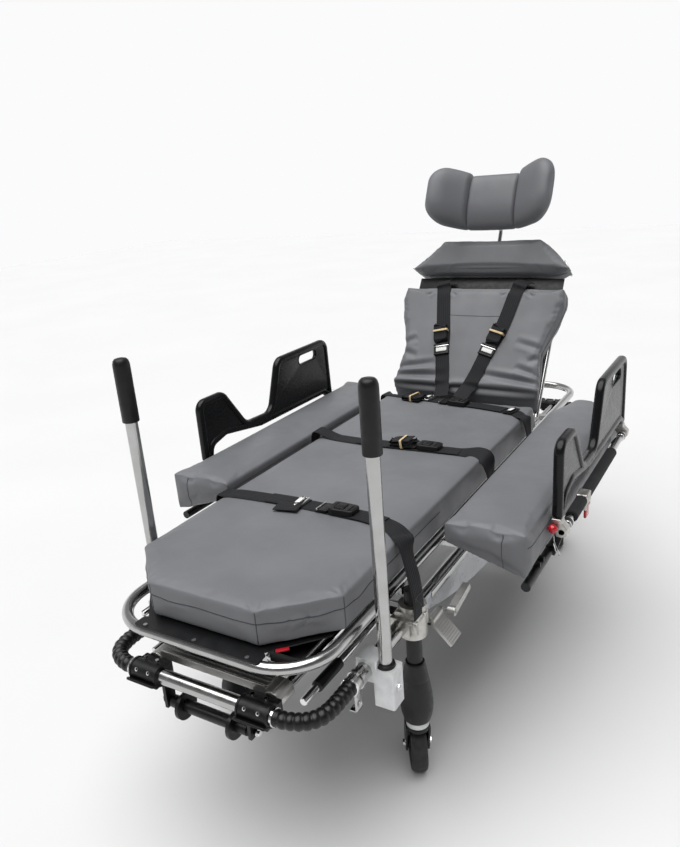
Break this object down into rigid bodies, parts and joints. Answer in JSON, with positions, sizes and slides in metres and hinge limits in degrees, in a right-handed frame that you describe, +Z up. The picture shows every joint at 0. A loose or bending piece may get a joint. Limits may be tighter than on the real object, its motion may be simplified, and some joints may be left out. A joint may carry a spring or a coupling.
{
  "type": "stretcher trolley",
  "caption": "Low wide-capacity ambulance trolley with raised backrest, headrest, padded side wings, folding guards, telescopic castor legs, push handles and belts.",
  "frame": {"origin": "on the floor, in the middle of the footprint", "axes": "+Y from the foot end to the head end, +X to the patient's left as drawn (the side of the pedals), +Z up"},
  "size_m": [1.094, 2.056, 1.3755],
  "materials": {
    "grey_vinyl": "satin coated vinyl",
    "black_webbing": "woven ribbed polyester",
    "buckle_plastic": "moulded",
    "guard_plastic": "rotational moulded, glossy",
    "foam_grip": "foam sleeve",
    "red_plastic": "moulded",
    "polished_steel": "polished stainless tube",
    "chrome_fitting": "plated",
    "cast_aluminium": "sand cast and tumbled",
    "brushed_aluminium": "extruded",
    "black_tube": "satin powder coat",
    "boot_plastic": "moulded boot",
    "hose_rubber": "corrugated hose",
    "castor_steel": "pressed and painted",
    "castor_tyre": "moulded tread",
    "side_cover": "light grey coat"
  },
  "bodies": {
    "chassis": {"corner_castings": "cast_aluminium", "leg_sleeves": "black_tube", "side_rails": "polished_steel", "bumper_bars": "polished_steel", "bumper_clamps": "buckle_plastic", "bumper_hoses": "hose_rubber", "cross_members": "polished_steel", "step_bar": "brushed_aluminium", "upper_frame": "polished_steel", "mattress_deck": "black_tube", "frame_fasteners": "chrome_fitting", "handle_sockets": "brushed_aluminium", "hydraulic_pump": "brushed_aluminium", "side_panels": "side_cover", "mattress": "grey_vinyl", "patient_belts": "black_webbing", "belt_buckles": "buckle_plastic", "strut_cylinder": "black_tube"},
    "leg_foot_right": {"leg_lower_foot_right": "boot_plastic"},
    "castor_foot_right": {"castor_fork_foot_right": "castor_steel"},
    "wheel_foot_right": {"castor_wheel_foot_right": "castor_tyre"},
    "leg_foot_left": {"leg_lower_foot_left": "boot_plastic"},
    "castor_foot_left": {"castor_fork_foot_left": "castor_steel"},
    "wheel_foot_left": {"castor_wheel_foot_left": "castor_tyre"},
    "leg_head_right": {"leg_lower_head_right": "boot_plastic"},
    "castor_head_right": {"castor_fork_head_right": "castor_steel"},
    "wheel_head_right": {"castor_wheel_head_right": "castor_tyre"},
    "leg_head_left": {"leg_lower_head_left": "boot_plastic"},
    "castor_head_left": {"castor_fork_head_left": "castor_steel"},
    "wheel_head_left": {"castor_wheel_head_left": "castor_tyre"},
    "push_right": {"push_handle_right": "polished_steel"},
    "push_left": {"push_handle_left": "polished_steel"},
    "backrest": {"backrest_frame": "polished_steel", "backrest_cushion": "grey_vinyl", "shoulder_harness": "black_webbing"},
    "head_section": {"head_frame": "black_tube", "head_cushion": "grey_vinyl"},
    "headrest_stem": {"headrest_post": "polished_steel"},
    "headrest": {"headrest_cushion": "grey_vinyl"},
    "strut": {"strut_rod": "chrome_fitting"},
    "wing_right": {"wing_frame_right": "polished_steel", "wing_cushion_right": "grey_vinyl", "guard_bar_right": "foam_grip"},
    "guard_right": {"guard_panel_right": "guard_plastic"},
    "guard_release_right": {"guard_lever_right": "red_plastic"},
    "knob_foot_right": {"guard_knob_foot_right": "red_plastic"},
    "knob_head_right": {"guard_knob_head_right": "red_plastic"},
    "wing_left": {"wing_frame_left": "polished_steel", "wing_cushion_left": "grey_vinyl", "guard_bar_left": "foam_grip"},
    "guard_left": {"guard_panel_left": "guard_plastic"},
    "guard_release_left": {"guard_lever_left": "red_plastic"},
    "knob_foot_left": {"guard_knob_foot_left": "red_plastic"},
    "knob_head_left": {"guard_knob_head_left": "red_plastic"},
    "roller": {"guide_roller": "hose_rubber"},
    "pedal_pump": {"pump_pedal": "brushed_aluminium"},
    "pedal_release": {"release_lever": "brushed_aluminium"},
    "button_foot": {"buckle_button_foot": "buckle_plastic"},
    "button_thigh": {"buckle_button_thigh": "buckle_plastic"},
    "button_lap": {"buckle_button_lap": "buckle_plastic"}
  },
  "joints": [
    {"name": "leg_extend_foot_right", "type": "slide", "parent": "chassis", "child": "leg_foot_right", "axis": [0, 0, -1], "range_m": [0, 0.24]},
    {"name": "castor_swivel_foot_right", "type": "hinge", "parent": "leg_foot_right", "child": "castor_foot_right", "pos_m": [0.282, -0.617, 0.16], "axis": [0, 0, 1], "continuous": true},
    {"name": "wheel_spin_foot_right", "type": "hinge", "parent": "castor_foot_right", "child": "wheel_foot_right", "pos_m": [0.25921, -0.58053, 0.07], "axis": [0.848, 0.5299, 0], "continuous": true},
    {"name": "leg_extend_foot_left", "type": "slide", "parent": "chassis", "child": "leg_foot_left", "axis": [0, 0, -1], "range_m": [0, 0.24]},
    {"name": "castor_swivel_foot_left", "type": "hinge", "parent": "leg_foot_left", "child": "castor_foot_left", "pos_m": [-0.282, -0.617, 0.16], "axis": [0, 0, 1], "continuous": true},
    {"name": "wheel_spin_foot_left", "type": "hinge", "parent": "castor_foot_left", "child": "wheel_foot_left", "pos_m": [-0.26871, -0.5761, 0.07], "axis": [0.9511, -0.309, 0], "continuous": true},
    {"name": "leg_extend_head_right", "type": "slide", "parent": "chassis", "child": "leg_head_right", "axis": [0, 0, -1], "range_m": [0, 0.24]},
    {"name": "castor_swivel_head_right", "type": "hinge", "parent": "leg_head_right", "child": "castor_head_right", "pos_m": [0.282, 0.617, 0.16], "axis": [0, 0, 1], "continuous": true},
    {"name": "wheel_spin_head_right", "type": "hinge", "parent": "castor_head_right", "child": "wheel_head_right", "pos_m": [0.2716, 0.65872, 0.07], "axis": [0.9703, 0.2419, 0], "continuous": true},
    {"name": "leg_extend_head_left", "type": "slide", "parent": "chassis", "child": "leg_head_left", "axis": [0, 0, -1], "range_m": [0, 0.24]},
    {"name": "castor_swivel_head_left", "type": "hinge", "parent": "leg_head_left", "child": "castor_head_left", "pos_m": [-0.282, 0.617, 0.16], "axis": [0, 0, 1], "continuous": true},
    {"name": "wheel_spin_head_left", "type": "hinge", "parent": "castor_head_left", "child": "wheel_head_left", "pos_m": [-0.25734, 0.65222, 0.07], "axis": [0.8192, -0.5736, 0], "continuous": true},
    {"name": "push_handle_lift_right", "type": "slide", "parent": "chassis", "child": "push_right", "axis": [0, 0, 1], "range_m": [0, 0.06]},
    {"name": "push_handle_lift_left", "type": "slide", "parent": "chassis", "child": "push_left", "axis": [0, 0, 1], "range_m": [0, 0.06]},
    {"name": "backrest_recline", "type": "hinge", "parent": "chassis", "child": "backrest", "pos_m": [0, 0.427, 0.535], "axis": [1, 0, 0], "range_deg": [-54, 16]},
    {"name": "head_section_tilt", "type": "hinge", "parent": "backrest", "child": "head_section", "pos_m": [0, 0.69281, 0.96485], "axis": [1, 0, 0], "range_deg": [-8, 20]},
    {"name": "headrest_height", "type": "slide", "parent": "head_section", "child": "headrest_stem", "axis": [0, 0.4384, 0.8988], "range_m": [-0.01, 0.055]},
    {"name": "headrest_tilt", "type": "hinge", "parent": "headrest_stem", "child": "headrest", "pos_m": [0, 0.77119, 1.22591], "axis": [1, 0, 0], "range_deg": [-20, 20]},
    {"name": "strut_extend", "type": "slide", "parent": "chassis", "child": "strut", "axis": [0, 1, 0], "range_m": [-0.085, 0.0254]},
    {"name": "wing_fold_right", "type": "hinge", "parent": "chassis", "child": "wing_right", "pos_m": [0.3, 0, 0.535], "axis": [0, 1, 0], "range_deg": [0, 75]},
    {"name": "guard_fold_right", "type": "hinge", "parent": "wing_right", "child": "guard_right", "pos_m": [0.532, 0, 0.575], "axis": [0, 1, 0], "range_deg": [0, 180]},
    {"name": "guard_release_squeeze_right", "type": "hinge", "parent": "wing_right", "child": "guard_release_right", "pos_m": [0.54, -0.135, 0.555], "axis": [0, -1, 0], "range_deg": [0, 18], "stiffness_Nm_per_rad": 0.25},
    {"name": "knob_pull_foot_right", "type": "slide", "parent": "guard_right", "child": "knob_foot_right", "axis": [0, -1, 0], "range_m": [0, 0.008], "stiffness_N_per_m": 600},
    {"name": "knob_pull_head_right", "type": "slide", "parent": "guard_right", "child": "knob_head_right", "axis": [0, 1, 0], "range_m": [0, 0.008], "stiffness_N_per_m": 600},
    {"name": "wing_fold_left", "type": "hinge", "parent": "chassis", "child": "wing_left", "pos_m": [-0.3, 0, 0.535], "axis": [0, -1, 0], "range_deg": [0, 75]},
    {"name": "guard_fold_left", "type": "hinge", "parent": "wing_left", "child": "guard_left", "pos_m": [-0.532, 0, 0.575], "axis": [0, -1, 0], "range_deg": [0, 180]},
    {"name": "guard_release_squeeze_left", "type": "hinge", "parent": "wing_left", "child": "guard_release_left", "pos_m": [-0.54, -0.135, 0.555], "axis": [0, 1, 0], "range_deg": [0, 18], "stiffness_Nm_per_rad": 0.25},
    {"name": "knob_pull_foot_left", "type": "slide", "parent": "guard_left", "child": "knob_foot_left", "axis": [0, -1, 0], "range_m": [0, 0.008], "stiffness_N_per_m": 600},
    {"name": "knob_pull_head_left", "type": "slide", "parent": "guard_left", "child": "knob_head_left", "axis": [0, 1, 0], "range_m": [0, 0.008], "stiffness_N_per_m": 600},
    {"name": "roller_spin", "type": "hinge", "parent": "chassis", "child": "roller", "pos_m": [0, -0.99, 0.366], "axis": [1, 0, 0], "continuous": true},
    {"name": "pump_pedal_stroke", "type": "hinge", "parent": "chassis", "child": "pedal_pump", "pos_m": [0.303, -0.548, 0.414], "axis": [0, 1, 0], "range_deg": [0, 25], "stiffness_Nm_per_rad": 6, "springref_deg": -5.73},
    {"name": "release_lever_press", "type": "hinge", "parent": "chassis", "child": "pedal_release", "pos_m": [0.324, -0.496, 0.404], "axis": [1, 0, 0], "range_deg": [-14, 0], "stiffness_Nm_per_rad": 6, "springref_deg": 5.73},
    {"name": "buckle_press_foot", "type": "slide", "parent": "chassis", "child": "button_foot", "axis": [0, 0, -1], "range_m": [0, 0.003], "stiffness_N_per_m": 500},
    {"name": "buckle_press_thigh", "type": "slide", "parent": "chassis", "child": "button_thigh", "axis": [0, 0, -1], "range_m": [0, 0.003], "stiffness_N_per_m": 500},
    {"name": "buckle_press_lap", "type": "slide", "parent": "chassis", "child": "button_lap", "axis": [0, 0, -1], "range_m": [0, 0.003], "stiffness_N_per_m": 500}
  ],
  "couplings": [
    {"joint": "leg_extend_foot_left", "follows": "leg_extend_foot_right", "ratio": 1},
    {"joint": "leg_extend_head_right", "follows": "leg_extend_foot_right", "ratio": 1},
    {"joint": "leg_extend_head_left", "follows": "leg_extend_foot_right", "ratio": 1},
    {"joint": "strut_extend", "follows": "backrest_recline", "m_per_rad": 0.089954}
  ]
}
